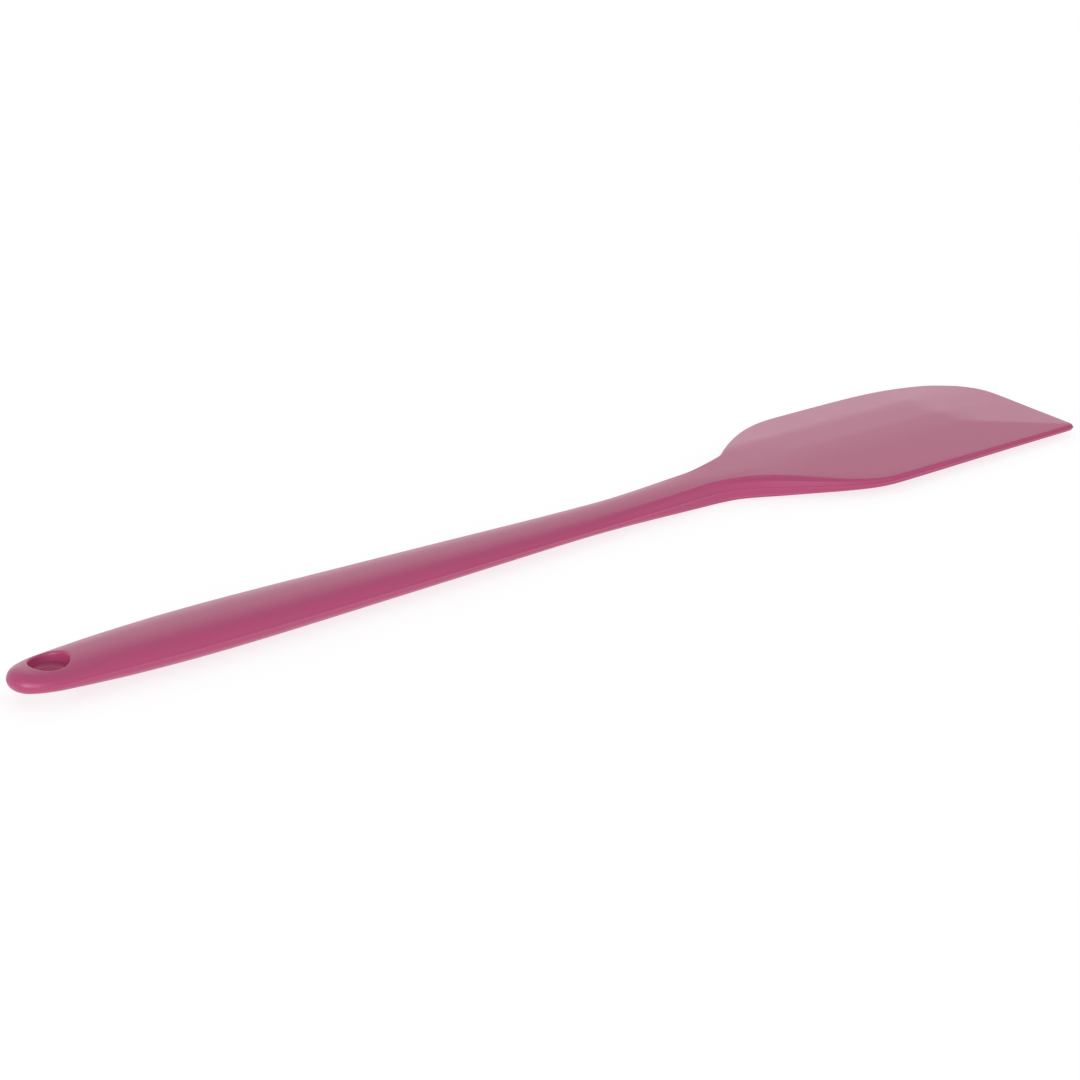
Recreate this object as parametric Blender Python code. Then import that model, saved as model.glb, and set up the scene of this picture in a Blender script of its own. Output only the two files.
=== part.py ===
"""A one-piece silicone spatula: a soft skin moulded round a stiff core.

Metres, +Z up. The spatula lies on a table at z = 0, resting on the flat underside of its blade and on
the belly of its handle. The handle's end points to -X and the blade's tip to +X.
"""

import math

import bmesh
import bpy

OVERALL_LENGTH = 0.280

# Handle, with places measured from its end
HANDLE_END_ROUND = 0.0112
HANDLE_END_WIDTH = 0.0152
HANDLE_NOSE_LENGTH = 0.0038
HANDLE_NOSE_THICKNESS = 0.0052
GRIP_AT = 0.045
GRIP_WIDTH = 0.0176
PALM_AT = 0.026
PALM_THICKNESS = 0.0082
BELLY_AT = 0.057
BELLY_THICKNESS = 0.0087
WAIST_AT = 0.100
WAIST_WIDTH = 0.0149
WAIST_THICKNESS = 0.0073
NECK_AT = 0.150
NECK_WIDTH = 0.0120
NECK_THICKNESS = 0.0053

# Hanging hole, from the handle's end to its centre
HOLE_AT = 0.01035
HOLE_DIAMETER = 0.0088

# Blade, with places measured back from its tip
ROOT_FROM_TIP = 0.0950
ROOT_WIDTH = 0.0098
SHOULDER_LENGTH = 0.0390
STRAIGHT_SIDE_HALF_WIDTH = 0.0237
STRAIGHT_SIDE_TIP_HALF_WIDTH = 0.0229
CURVED_SIDE_HALF_WIDTH = 0.0246
SIDE_CURVE_LENGTH = 0.0360
SIDE_CURVE_END_HALF_WIDTH = 0.0050
SIDE_CURVE_POWER = 2.38
SQUARE_CORNER_RADIUS = 0.0016
EDGE_THICKNESS = 0.0018
TIP_THICKNESS = 0.0010
EDGE_ROUND = 0.0004

# Flat plateau in the middle of the blade, and the bevels that fall from it to the edges
TIP_BEVEL_LENGTH = 0.0225
PLATEAU_END_THICKNESS = 0.0046
PLATEAU_STRAIGHT_SIDE_ROOT = 0.0096
PLATEAU_STRAIGHT_SIDE_END = 0.0068
PLATEAU_CURVED_SIDE = 0.0111
PLATEAU_CROWN = 0.00025
CORNER_BEVEL_POWER = 1.43

# Where the oval neck squares up, and the ledge along each side wall where it widens into the blade
SQUARED_START_FROM_TIP = 0.136
SQUARED_END_FROM_TIP = 0.078
LEDGE_DEPTH = 0.0011
LEDGE_START_FROM_TIP = 0.093
LEDGE_FULL_FROM_TIP = 0.085
LEDGE_END_FROM_TIP = 0.056

# Skin and core
SKIN_WALL = 0.0012
CORE_GAP = 0.0003
HOLE_RIM_WALL = 0.0024
CORE_END_ROUND = 0.006
TONGUE_END_FROM_TIP = 0.042
TONGUE_WIDTH = 0.0130
TONGUE_END_ROUND = 0.0065
CORE_SECTION_POWER = 2.4
CORE_END_THICKNESS_SHARE = 0.55
LOCK_HOLES = 3
LOCK_HOLE_DIAMETER = 0.0040
LOCK_HOLE_PITCH = 0.0110
LOCK_HOLE_FROM_TONGUE_END = 0.0100

# Holes in the underside that the mould's locating pins leave
PINS = 3
PIN_DIAMETER = 0.0020
FIRST_PIN_AT = 0.040
PIN_PITCH = 0.060

# Fineness of the curves
HANDLE_STEP = 0.0070
SHOULDER_STEP = 0.0025
CORE_STEP = 0.0080
CORE_ROUND_STEPS = 6
ROUND_STEPS = 9
CURVE_STEPS = 14
CORNER_STEPS = 4
HOLE_SIDES = 40
SMALL_HOLE_SIDES = 16
CORE_SIDES = 20

ROOT_AT = OVERALL_LENGTH - ROOT_FROM_TIP
SHOULDER_END_AT = ROOT_AT + SHOULDER_LENGTH
SIDE_CURVE_AT = OVERALL_LENGTH - SIDE_CURVE_LENGTH
PLATEAU_END_AT = OVERALL_LENGTH - TIP_BEVEL_LENGTH
SQUARED_START_AT = OVERALL_LENGTH - SQUARED_START_FROM_TIP
SQUARED_END_AT = OVERALL_LENGTH - SQUARED_END_FROM_TIP
LEDGE_START_AT = OVERALL_LENGTH - LEDGE_START_FROM_TIP
LEDGE_FULL_AT = OVERALL_LENGTH - LEDGE_FULL_FROM_TIP
LEDGE_END_AT = OVERALL_LENGTH - LEDGE_END_FROM_TIP
CAVITY_START_AT = HOLE_AT + HOLE_DIAMETER / 2 + HOLE_RIM_WALL
CORE_START_AT = CAVITY_START_AT + CORE_GAP
TONGUE_END_AT = OVERALL_LENGTH - TONGUE_END_FROM_TIP
CENTRE_X = OVERALL_LENGTH / 2
CENTRE_Y = (CURVED_SIDE_HALF_WIDTH - STRAIGHT_SIDE_HALF_WIDTH) / 2

# Angles on an oval handle section of the points that become wall, crest and facet points on the blade
WALL_ANGLES = (0, 9, 18, 27, 36, 45)
FACE_ANGLES = (56, 67, 78)

# Points up the blade's side wall, as shares of its height and of the ledge's depth
WALL_POINTS = ((0.0, 0.0), (0.20, 0.0), (0.40, 0.0), (0.70, 1.0), (0.90, 1.0), (1.0, 1.0))
EDGE_ROUND_POWER = 3
PLATEAU_MOST_SHARE = 0.72


def share(value, start, end):
    """How far value lies from start to end, from 0 to 1."""
    return min(1.0, max(0.0, (value - start) / (end - start)))


def ease(value, start, end):
    """The same, with a soft start and a soft end."""
    t = share(value, start, end)
    return t * t * (3 - 2 * t)


def swell(x, start, full, end):
    """Rises softly from 0 at start to 1 at full, and falls softly back to 0 at end."""
    return ease(x, start, full) * (1 - ease(x, full, end))


def mix(a, b, t):
    return a + (b - a) * t


def through(points, x):
    """Height at x of a smooth curve through points, level beyond its ends."""
    if x <= points[0][0]:
        return points[0][1]
    if x >= points[-1][0]:
        return points[-1][1]
    slopes = [(b[1] - a[1]) / (b[0] - a[0]) for a, b in zip(points, points[1:])]
    turns = [0.0 if a * b <= 0 else 2 * a * b / (a + b) for a, b in zip(slopes, slopes[1:])]
    tangents = [slopes[0]] + turns + [slopes[-1]]
    i = max(k for k in range(len(points) - 1) if points[k][0] <= x)
    (x0, y0), (x1, y1) = points[i], points[i + 1]
    t = (x - x0) / (x1 - x0)
    rise = (x1 - x0) * (tangents[i] * (t - 2 * t**2 + t**3) + tangents[i + 1] * (t**3 - t**2))
    return mix(y0, y1, t * t * (3 - 2 * t)) + rise


def quarter_round(distance, radius):
    """Share of the full size at a distance into a rounded end."""
    t = 1 - share(distance, 0, radius)
    return math.sqrt(max(0.0, 1 - t * t))


def mid_height(x):
    """Height of the mould's flat parting plane, which drops slightly towards the blade's tip."""
    fall = (BELLY_THICKNESS - PLATEAU_END_THICKNESS) / 2
    return BELLY_THICKNESS / 2 - fall * (x - BELLY_AT) / (PLATEAU_END_AT - BELLY_AT)


def underside_height(x):
    """Height of the underside above the table, which the belly and the blade's plateau touch."""
    thicknesses = (
        (HANDLE_NOSE_LENGTH, HANDLE_NOSE_THICKNESS),
        (PALM_AT, PALM_THICKNESS),
        (BELLY_AT, BELLY_THICKNESS),
        (WAIST_AT, WAIST_THICKNESS),
        (NECK_AT, NECK_THICKNESS),
        (ROOT_AT, 2 * mid_height(ROOT_AT)),
    )
    return through([(at, mid_height(at) - thickness / 2) for at, thickness in thicknesses], x)


def half_thickness(x):
    """Half the thickness along the centre line, from the parting plane down to the underside."""
    return (mid_height(x) - underside_height(x)) * quarter_round(x, HANDLE_NOSE_LENGTH)


def handle_half_width(x):
    curve = (
        (HANDLE_END_ROUND, HANDLE_END_WIDTH / 2),
        (GRIP_AT, GRIP_WIDTH / 2),
        (WAIST_AT, WAIST_WIDTH / 2),
        (NECK_AT, NECK_WIDTH / 2),
        (ROOT_AT, ROOT_WIDTH / 2),
    )
    return through(curve, x) * quarter_round(x, HANDLE_END_ROUND)


def blade_half_width(x, side):
    """Distance from the axis to the blade's straight or curved side, before its corners."""
    if side > 0:
        return CURVED_SIDE_HALF_WIDTH
    along = share(x, SHOULDER_END_AT, OVERALL_LENGTH)
    return mix(STRAIGHT_SIDE_HALF_WIDTH, STRAIGHT_SIDE_TIP_HALF_WIDTH, along)


def half_width(x, side):
    """Distance from the handle's axis to the parting line: side is -1 for the blade's straight side
    and 1 for its curved side."""
    width = mix(handle_half_width(x), blade_half_width(x, side), ease(x, ROOT_AT, SHOULDER_END_AT))
    if side < 0:
        past = max(0.0, x - (OVERALL_LENGTH - SQUARE_CORNER_RADIUS))
        return width - SQUARE_CORNER_RADIUS + math.sqrt(max(0.0, SQUARE_CORNER_RADIUS**2 - past**2))
    along = share(x, SIDE_CURVE_AT, OVERALL_LENGTH)
    bulge = (1 - along**SIDE_CURVE_POWER) ** (1 / SIDE_CURVE_POWER)
    return mix(SIDE_CURVE_END_HALF_WIDTH, width, bulge) if along > 0 else width


def plateau_half_width(x, side):
    if side > 0:
        return PLATEAU_CURVED_SIDE
    return mix(PLATEAU_STRAIGHT_SIDE_ROOT, PLATEAU_STRAIGHT_SIDE_END, share(x, ROOT_AT, PLATEAU_END_AT))


def blade_height(x, y):
    """Height of the blade's face above the parting plane: a plateau with bevels on three sides."""
    side = -1 if y < 0 else 1
    across = share(abs(y), plateau_half_width(x, side), blade_half_width(x, side))
    along = share(x, PLATEAU_END_AT, OVERALL_LENGTH)
    if side < 0:
        fall = max(across, along)
    else:
        fall = min(1.0, (across**CORNER_BEVEL_POWER + along**CORNER_BEVEL_POWER) ** (1 / CORNER_BEVEL_POWER))
    edge = mix(EDGE_THICKNESS, TIP_THICKNESS, along) / 2
    return mix(half_thickness(x), edge, fall)


def plateau_crown(x):
    """How far the middle of the blade's upper face stands above its flat underside's mirror image."""
    return PLATEAU_CROWN * ease(x, ROOT_AT, SHOULDER_END_AT) * (1 - share(x, PLATEAU_END_AT, OVERALL_LENGTH))


def blade_wall(x, side):
    """Points of the blade's side wall, as (y, z) from the parting line up to the crest."""
    width = half_width(x, side)
    ledge = LEDGE_DEPTH * swell(x, LEDGE_START_AT, LEDGE_FULL_AT, LEDGE_END_AT)
    crest = width - ledge - EDGE_ROUND
    top = blade_height(x, side * crest)
    return [
        (width - ledge * stepped - EDGE_ROUND * up**EDGE_ROUND_POWER, top * up)
        for up, stepped in WALL_POINTS
    ]


def blade_face(x, side, crest):
    """Places across one side of the blade's face, from the middle of the facet inwards."""
    plateau = plateau_half_width(x, side)
    if side < 0:
        plateau = mix(plateau, crest, share(x, PLATEAU_END_AT, OVERALL_LENGTH))
    edge = min(plateau, PLATEAU_MOST_SHARE * crest)
    return [(crest + edge) / 2, edge, edge / 2]


def blade_half_section(x, side):
    """Points of one side of the blade's upper half, from the parting line inwards, and how far the
    crown lifts each of them."""
    wall = blade_wall(x, side)
    face = blade_face(x, side, wall[-1][0])
    points = wall + [(y, blade_height(x, side * y)) for y in face]
    plateau = plateau_half_width(x, side)
    lifts = [0.0] * len(wall) + [plateau_crown(x) * share(y, plateau, 0) for y in face]
    return [(side * y, z) for y, z in points], lifts


def oval_half_section(x, side):
    width = half_width(x, side)
    height = half_thickness(x)
    angles = [math.radians(a) for a in WALL_ANGLES + FACE_ANGLES]
    return [(side * width * math.cos(a), height * math.sin(a)) for a in angles]


def outer_ring(x):
    """The closed outline of the spatula at x, as (y, z), from the straight side over the top."""
    blade = ease(x, SQUARED_START_AT, SQUARED_END_AT)
    sides = []
    lifts = []
    for side in (-1, 1):
        flat, lift = blade_half_section(x, side)
        oval = oval_half_section(x, side)
        sides.append([(mix(a[0], b[0], blade), mix(a[1], b[1], blade)) for a, b in zip(oval, flat)])
        lifts.append(lift)
    middle = half_thickness(x) if x < PLATEAU_END_AT else blade_height(x, 0.0)
    under = sides[0] + [(0.0, middle)] + sides[1][::-1]
    rises = lifts[0] + [plateau_crown(x)] + lifts[1][::-1]
    level = mid_height(x)
    upper = [(y, level + z + rise) for (y, z), rise in zip(under, rises)]
    lower = [(y, level - z) for y, z in under[-2:0:-1]]
    return upper + lower


def steps(start, end, step):
    """Evenly spaced places after start, up to and including end."""
    count = max(1, round((end - start) / step))
    return [start + (end - start) * (i + 1) / count for i in range(count)]


def skin_stations():
    """Places along X with a ring, closer together where the outline turns faster."""
    quarter = [math.radians(90 * (i + 1) / ROUND_STEPS) for i in range(ROUND_STEPS)]
    places = [HANDLE_END_ROUND * (1 - math.cos(a)) for a in quarter]
    places += [PALM_AT, GRIP_AT, BELLY_AT]
    places += steps(HANDLE_END_ROUND, SQUARED_START_AT, HANDLE_STEP)
    places += steps(SQUARED_START_AT, SHOULDER_END_AT, SHOULDER_STEP) + [ROOT_AT]
    places += steps(SHOULDER_END_AT, SIDE_CURVE_AT, HANDLE_STEP) + [PLATEAU_END_AT]
    turn = [math.sin(math.radians(90 * (i + 1) / CURVE_STEPS)) for i in range(CURVE_STEPS)]
    places += [SIDE_CURVE_AT + SIDE_CURVE_LENGTH * t for t in turn]
    corner = [math.sin(math.radians(90 * i / CORNER_STEPS)) for i in range(CORNER_STEPS)]
    places += [OVERALL_LENGTH - SQUARE_CORNER_RADIUS * (1 - t) for t in corner]
    return thinned(sorted(places))


def thinned(places):
    """The places in order, without those that nearly repeat the one before."""
    kept = [places[0]]
    for place in places[1:]:
        if place - kept[-1] > 0.0001:
            kept.append(place)
    kept[-1] = places[-1]
    return kept


def placed(x, y, z):
    """A point given from the handle's end and axis, moved so that the object is centred."""
    return (x - CENTRE_X, y - CENTRE_Y, z)


def material(name, colour, roughness):
    made = bpy.data.materials.new(name)
    made.use_nodes = True
    shader = made.node_tree.nodes["Principled BSDF"]
    shader.inputs["Base Color"].default_value = (*colour, 1)
    shader.inputs["Roughness"].default_value = roughness
    shader.inputs["Metallic"].default_value = 0
    return made


def add_object(name, mesh):
    made = bpy.data.objects.new(name, mesh)
    bpy.context.scene.collection.objects.link(made)
    return made


def lofted(name, rings, nose=None):
    """A closed skin over rings of equal length. It starts at the point nose or at a cap, and ends at a
    cap that joins each point of the last ring to the one below it."""
    shape = bmesh.new()
    loops = [[shape.verts.new(point) for point in ring] for ring in rings]
    count = len(loops[0])
    for a, b in zip(loops, loops[1:]):
        for i in range(count):
            j = (i + 1) % count
            shape.faces.new((a[i], a[j], b[j], b[i]))
    if nose:
        point = shape.verts.new(nose)
        for i in range(count):
            shape.faces.new((point, loops[0][(i + 1) % count], loops[0][i]))
    else:
        cap(shape, loops[0])
    cap(shape, loops[-1])
    bmesh.ops.recalc_face_normals(shape, faces=shape.faces)
    mesh = bpy.data.meshes.new(name)
    shape.to_mesh(mesh)
    shape.free()
    return add_object(name, mesh)


def cap(shape, loop):
    """Closes a ring whose first and middle points are its two sides."""
    half = len(loop) // 2
    for i in range(half):
        corners = [loop[i], loop[i + 1], loop[-i - 1], loop[-i]]
        shape.faces.new(list(dict.fromkeys(corners)))


def pin(name, x, y, radius, low, high, sides):
    """An upright cylinder from low to high."""
    shape = bmesh.new()
    bmesh.ops.create_cone(
        shape, cap_ends=True, segments=sides, radius1=radius, radius2=radius, depth=high - low
    )
    mesh = bpy.data.meshes.new(name)
    shape.to_mesh(mesh)
    shape.free()
    made = add_object(name, mesh)
    made.location = placed(x, y, (low + high) / 2)
    return made


def cut(target, tool):
    """Cuts tool out of target and keeps it only as a wire guide."""
    tool.hide_render = True
    tool.display_type = "WIRE"
    step = target.modifiers.new("cut " + tool.name, "BOOLEAN")
    step.operation = "DIFFERENCE"
    step.solver = "EXACT"
    step.object = tool


def core_half_size(x, inset):
    """Half width and half thickness of the core's space at x, inset from the skin's outer surface."""
    room = min(half_width(x, -1), half_width(x, 1)) - inset
    tongue = TONGUE_WIDTH / 2 + CORE_GAP + SKIN_WALL - inset
    return min(room, tongue) if x > ROOT_AT else room, half_thickness(x) - inset


def core_ring(x, inset, start, end):
    """A rounded oblong round the parting plane, drawn in at the core's two ends."""
    width, height = core_half_size(x, inset)
    near = quarter_round(x - start, CORE_END_ROUND)
    far = quarter_round(end - x, TONGUE_END_ROUND)
    width *= min(near, far)
    height *= mix(CORE_END_THICKNESS_SHARE, 1.0, min(near, far))
    ring = []
    for i in range(CORE_SIDES):
        angle = math.pi - 2 * math.pi * i / CORE_SIDES
        across = math.copysign(abs(math.cos(angle)) ** (2 / CORE_SECTION_POWER), math.cos(angle))
        up = math.copysign(abs(math.sin(angle)) ** (2 / CORE_SECTION_POWER), math.sin(angle))
        ring.append(placed(x, width * across, mid_height(x) + height * up))
    return ring


def core_stations(start, end):
    """Places along the core, close together in its two rounded ends."""
    quarter = [math.radians(90 * (i + 1) / CORE_ROUND_STEPS) for i in range(CORE_ROUND_STEPS)]
    places = [start + CORE_END_ROUND * (1 - math.cos(a)) for a in quarter]
    places += steps(start + CORE_END_ROUND, end - TONGUE_END_ROUND, CORE_STEP) + [ROOT_AT]
    places += [end - TONGUE_END_ROUND * (1 - math.cos(a)) for a in quarter]
    return thinned(sorted(places))


def core_body(name, inset, start, end):
    rings = [core_ring(x, inset, start, end) for x in core_stations(start, end)]
    return lofted(name, rings)


def lock_hole_places():
    first = TONGUE_END_AT - LOCK_HOLE_FROM_TONGUE_END
    return [first - LOCK_HOLE_PITCH * i for i in range(LOCK_HOLES)]


def build_core():
    """The stiff core: a tapering bar that ends as a flat tongue with holes that lock the silicone."""
    core = core_body("stiffening_core", SKIN_WALL + CORE_GAP, CORE_START_AT, TONGUE_END_AT)
    low, high = -BELLY_THICKNESS, 2 * BELLY_THICKNESS
    for i, x in enumerate(lock_hole_places()):
        cut(core, pin(f"lock_hole_{i}", x, 0, LOCK_HOLE_DIAMETER / 2, low, high, SMALL_HOLE_SIDES))
    core.data.materials.append(material("core_nylon", (0.55, 0.53, 0.47), 0.55))
    return core


def build_cavity():
    """The room that the core takes in the skin, with the posts that stand in the core's lock holes."""
    cavity = core_body("core_room", SKIN_WALL, CAVITY_START_AT, TONGUE_END_AT + CORE_GAP)
    radius = LOCK_HOLE_DIAMETER / 2 - CORE_GAP
    low, high = -BELLY_THICKNESS, 2 * BELLY_THICKNESS
    for i, x in enumerate(lock_hole_places()):
        cut(cavity, pin(f"lock_post_{i}", x, 0, radius, low, high, SMALL_HOLE_SIDES))
    return cavity


def build_skin():
    """The silicone skin: one moulding with a hanging hole and the mould's pin holes underneath."""
    rings = [[placed(x, y, z) for y, z in outer_ring(x)] for x in skin_stations()]
    skin = lofted("silicone_skin", rings, nose=placed(0, 0, mid_height(0)))
    cut(skin, build_cavity())
    low, high = -BELLY_THICKNESS, 2 * BELLY_THICKNESS
    cut(skin, pin("hanging_hole", HOLE_AT, 0, HOLE_DIAMETER / 2, low, high, HOLE_SIDES))
    for i in range(PINS):
        x = FIRST_PIN_AT + PIN_PITCH * i
        cut(skin, pin(f"pin_hole_{i}", x, 0, PIN_DIAMETER / 2, low, mid_height(x), SMALL_HOLE_SIDES))
    skin.data.materials.append(material("silicone", (0.42, 0.06, 0.15), 0.42))
    return skin


def smooth(thing):
    thing.data.shade_smooth()
    thing.data.set_sharp_from_angle(angle=math.radians(35))


def main():
    for old in list(bpy.data.objects):
        bpy.data.objects.remove(old)
    for thing in (build_core(), build_skin()):
        smooth(thing)


main()
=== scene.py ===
# %% [markdown]
# # A silicone spatula, modelled as one soft skin
#
# The object is a one-piece kitchen spatula: raspberry silicone moulded round a stiff nylon core, with
# a hanging hole in the handle's end and a blade that thins to a scraping edge. The frame that loads
# first holds the two solids at their real size. The nylon core is right as it is and only gets a
# material. The skin is modelled again here, finer, because all that one sees of a spatula is how
# softly its surface turns. Sizes are in metres, with z up and the handle's end towards -x.

# %% The fixed frame
import math

import bmesh
import bpy
from mathutils import Matrix, Vector


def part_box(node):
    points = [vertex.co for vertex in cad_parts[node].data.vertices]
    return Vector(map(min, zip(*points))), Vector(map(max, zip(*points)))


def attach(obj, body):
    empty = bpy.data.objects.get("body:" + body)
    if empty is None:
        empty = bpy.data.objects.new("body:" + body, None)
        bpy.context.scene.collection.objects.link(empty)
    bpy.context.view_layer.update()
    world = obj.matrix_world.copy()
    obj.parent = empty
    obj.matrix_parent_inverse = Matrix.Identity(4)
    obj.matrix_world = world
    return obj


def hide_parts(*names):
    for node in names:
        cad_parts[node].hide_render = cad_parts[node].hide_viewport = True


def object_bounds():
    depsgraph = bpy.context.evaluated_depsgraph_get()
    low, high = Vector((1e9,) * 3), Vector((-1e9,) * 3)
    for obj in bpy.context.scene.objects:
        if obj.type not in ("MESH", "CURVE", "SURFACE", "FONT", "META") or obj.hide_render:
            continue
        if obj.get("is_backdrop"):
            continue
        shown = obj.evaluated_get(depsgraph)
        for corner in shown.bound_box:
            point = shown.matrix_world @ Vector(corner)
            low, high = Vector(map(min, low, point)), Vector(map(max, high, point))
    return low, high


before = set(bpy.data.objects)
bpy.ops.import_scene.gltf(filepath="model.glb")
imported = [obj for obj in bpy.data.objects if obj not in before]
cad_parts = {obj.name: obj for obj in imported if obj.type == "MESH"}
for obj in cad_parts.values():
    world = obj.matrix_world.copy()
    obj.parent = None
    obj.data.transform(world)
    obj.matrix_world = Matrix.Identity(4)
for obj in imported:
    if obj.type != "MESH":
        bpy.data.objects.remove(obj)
solid_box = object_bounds()
MM = 0.001
skin_low, skin_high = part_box("silicone_skin")
LENGTH = skin_high[0] - skin_low[0]
print("skin from the frame, mm:", [round((b - a) / MM, 2) for a, b in zip(skin_low, skin_high)])

# %% [markdown]
# ## The shape as a mould maker would draw it
#
# A moulded skin has two halves that meet at a parting plane. Every height below is measured from
# that plane, every place along the spatula from the handle's end, and every width from the handle's
# axis. Two outlines and a thickness curve then say the whole shape. Formulas suit this object better
# than pulling points about by eye: the handle is a row of ovals whose width and thickness swell and
# shrink smoothly, and the blade is a flat plateau with bevels that fall to its edges.

# %% Small helpers for curves
def share(value, start, end):
    """How far value lies from start to end, from 0 to 1."""
    return min(1.0, max(0.0, (value - start) / (end - start)))


def ease(value, start, end):
    """The same, with a soft start and a soft end."""
    t = share(value, start, end)
    return t * t * (3 - 2 * t)


def mix(a, b, t):
    """The value that lies a share t of the way from a to b."""
    return a + (b - a) * t


def through(points, x):
    """Height at x of a smooth curve through points, level beyond its ends."""
    if x <= points[0][0]:
        return points[0][1]
    if x >= points[-1][0]:
        return points[-1][1]
    slopes = [(b[1] - a[1]) / (b[0] - a[0]) for a, b in zip(points, points[1:])]
    turns = [0.0 if a * b <= 0 else 2 * a * b / (a + b) for a, b in zip(slopes, slopes[1:])]
    tangents = [slopes[0]] + turns + [slopes[-1]]
    i = max(k for k in range(len(points) - 1) if points[k][0] <= x)
    (x0, y0), (x1, y1) = points[i], points[i + 1]
    t = (x - x0) / (x1 - x0)
    rise = (x1 - x0) * (tangents[i] * (t - 2 * t**2 + t**3) + tangents[i + 1] * (t**3 - t**2))
    return mix(y0, y1, t * t * (3 - 2 * t)) + rise


def hinge(value, start, end, softness):
    """Like share, but it sets in over a soft bend, a share of the way before and past the start."""
    t = (value - start) / (end - start)
    if abs(t) < softness:
        t = (t + softness) ** 2 / (4 * softness)
    return min(1.0, max(0.0, t))


def quarter_round(distance, radius):
    """Share of the full size at a distance into a rounded end."""
    t = 1 - share(distance, 0, radius)
    return math.sqrt(max(0.0, 1 - t * t))


print("a quarter of the way, eased:", round(ease(0.25, 0, 1), 3))

# %% Thickness of the handle and the blade
PLATEAU_END = LENGTH - 22.5 * MM
PLATEAU_END_THICKNESS = 4.6 * MM
BELLY = (57 * MM, 8.7 * MM)
NOSE_LENGTH = 3.8 * MM
ROOT = LENGTH - 95 * MM
PARTING_SLOPE = (PLATEAU_END_THICKNESS - BELLY[1]) / 2 / (PLATEAU_END - BELLY[0])


def parting_height(x):
    """Height above the table of the parting plane, which tips down a little towards the blade."""
    return BELLY[1] / 2 + PARTING_SLOPE * (x - BELLY[0])


THICKNESSES = (
    (NOSE_LENGTH, 5.2 * MM),
    (26 * MM, 8.2 * MM),
    BELLY,
    (100 * MM, 7.3 * MM),
    (150 * MM, 5.3 * MM),
    (ROOT, 2 * parting_height(ROOT)),
)


def half_thickness(x):
    """Half the thickness along the middle. From the blade's root on it rests on the table."""
    underside = through([(at, parting_height(at) - size / 2) for at, size in THICKNESSES], x)
    return parting_height(x) - underside


print("parting plane tips by", round(math.degrees(PARTING_SLOPE), 2), "degrees")

# %% The outline seen from above
END_ROUND = 11.2 * MM
SHOULDER_END = ROOT + 39 * MM
WIDTHS = (
    (END_ROUND, 15.2 * MM),
    (45 * MM, 17.6 * MM),
    (100 * MM, 14.9 * MM),
    (150 * MM, 12.0 * MM),
    (ROOT, 9.8 * MM),
)
STRAIGHT_SIDE = 23.7 * MM
STRAIGHT_SIDE_TIP = 22.9 * MM
CURVED_SIDE = 24.6 * MM
FLARE_START = ROOT - 1 * MM
FLARE_POWER = 1.3
KINK = LENGTH - 82.7 * MM
KINK_HALF_WIDTH = 9.2 * MM
CURVED_SHOULDER_END = LENGTH - 54 * MM
CURVE_START = LENGTH - 36 * MM
CURVE_END_HALF_WIDTH = 5.0 * MM
CURVE_POWER = 2.38


def handle_half_width(x):
    """Half width of the handle before its end is rounded."""
    return through([(at, size / 2) for at, size in WIDTHS], x)


def blade_half_width(x, side):
    """Distance from the axis to the blade's straight side, where side is -1, or its curved one, 1."""
    if side > 0:
        return CURVED_SIDE
    return mix(STRAIGHT_SIDE, STRAIGHT_SIDE_TIP, share(x, SHOULDER_END, LENGTH))


def half_width(x, side):
    """Distance from the axis to the outline, before the blade's corners. On the curved side the neck
    flares out to a kink, where the shoulder's arc starts."""
    rounded = handle_half_width(x) * quarter_round(x, END_ROUND)
    if side < 0:
        return mix(rounded, blade_half_width(x, side), ease(x, ROOT, SHOULDER_END))
    if x < KINK:
        return mix(rounded, KINK_HALF_WIDTH, share(x, FLARE_START, KINK) ** FLARE_POWER)
    arc = math.sin(math.pi / 2 * share(x, KINK, CURVED_SHOULDER_END))
    return mix(KINK_HALF_WIDTH, blade_half_width(x, side), arc)


def far_curve(turn):
    """A point of the blade's big round corner: turn is 0 at the tip and 90 degrees at the side."""
    angle = math.radians(turn)
    along = math.cos(angle) ** (2 / CURVE_POWER)
    across = math.sin(angle) ** (2 / CURVE_POWER)
    return Vector((
        mix(CURVE_START, LENGTH, along),
        mix(CURVE_END_HALF_WIDTH, CURVED_SIDE, across),
    ))


print("blade widths, mm:", round(STRAIGHT_SIDE / MM, 1), "and", round(CURVED_SIDE / MM, 1))

# %% The top of the blade
SHOULDER_EDGE_THICKNESS = 2.1 * MM
EDGE_THICKNESS = 1.5 * MM
EDGE_THINNED = LENGTH - 10 * MM
TIP_THICKNESS = 1.3 * MM
PLATEAU_NEAR_ROOT = 8.4 * MM
PLATEAU_NEAR_END = 6.8 * MM
PLATEAU_FAR = 11.1 * MM
CORNER_POWER = 1.43
RIDGE_SOFTNESS = 0.12
HIP_SOFTNESS = 0.42


def plateau_half_width(x, side):
    """Distance from the axis to the ridge where the plateau ends and a side's bevel starts."""
    if side > 0:
        return PLATEAU_FAR
    return mix(PLATEAU_NEAR_ROOT, PLATEAU_NEAR_END, share(x, ROOT, PLATEAU_END))


def edge_thickness(x, across, along):
    """Thickness of the blade's edge: thickest at the shoulder, thinnest in the middle of the tip."""
    side_edge = mix(SHOULDER_EDGE_THICKNESS, EDGE_THICKNESS, ease(x, SHOULDER_END, EDGE_THINNED))
    return mix(side_edge, TIP_THICKNESS, along * (1 - across))


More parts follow.
